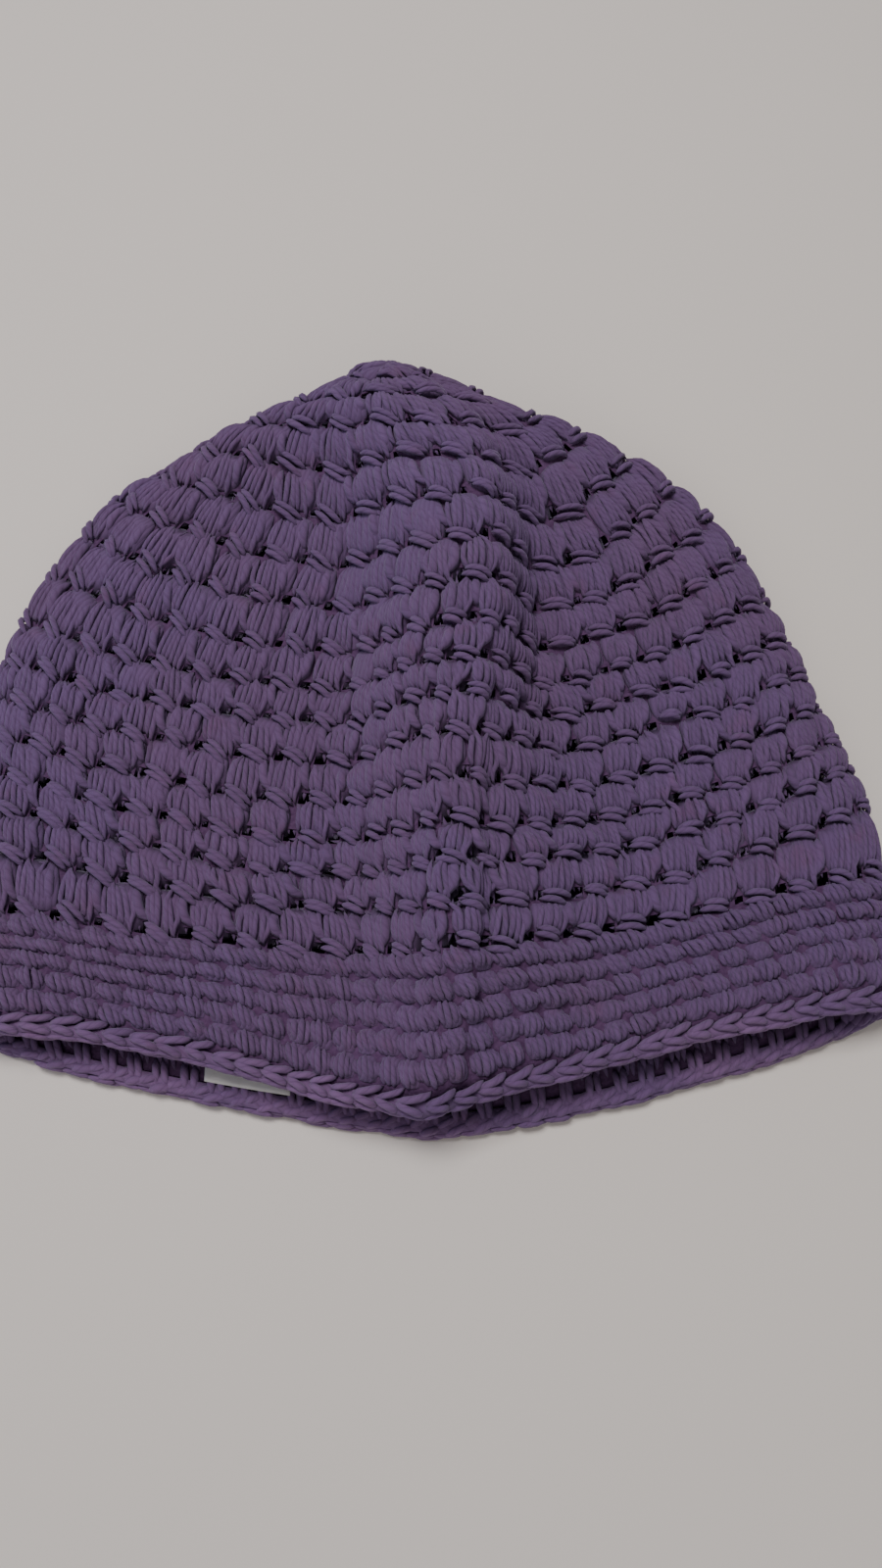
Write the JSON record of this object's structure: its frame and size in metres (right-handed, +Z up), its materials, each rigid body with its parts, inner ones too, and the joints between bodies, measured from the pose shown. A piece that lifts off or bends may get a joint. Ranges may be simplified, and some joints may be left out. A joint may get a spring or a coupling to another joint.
{
  "type": "crocheted kufi hat",
  "caption": "Soft crocheted kufi beanie lying on its side, hollow dome of bean stitches with a raised fold, dense cuff band, chain edging and a small bare label inside.",
  "frame": {"origin": "middle of the hat's footprint, on the surface it lies on", "axes": "+X across the hat between its two side folds, +Y from the opening to the tip of the crown, +Z up"},
  "size_m": [0.2532, 0.2236, 0.0426],
  "materials": {
    "crown_yarn": "matt cotton yarn, bean stitch",
    "band_yarn": "matt cotton yarn, dense single crochet",
    "edging_yarn": "matt cotton yarn, chain edging",
    "label_cloth": "smooth woven ribbon, bare"
  },
  "bodies": {
    "root": {"crown": "crown_yarn", "band": "band_yarn", "rim_edging": "edging_yarn", "label": "label_cloth"}
  },
  "joints": []
}
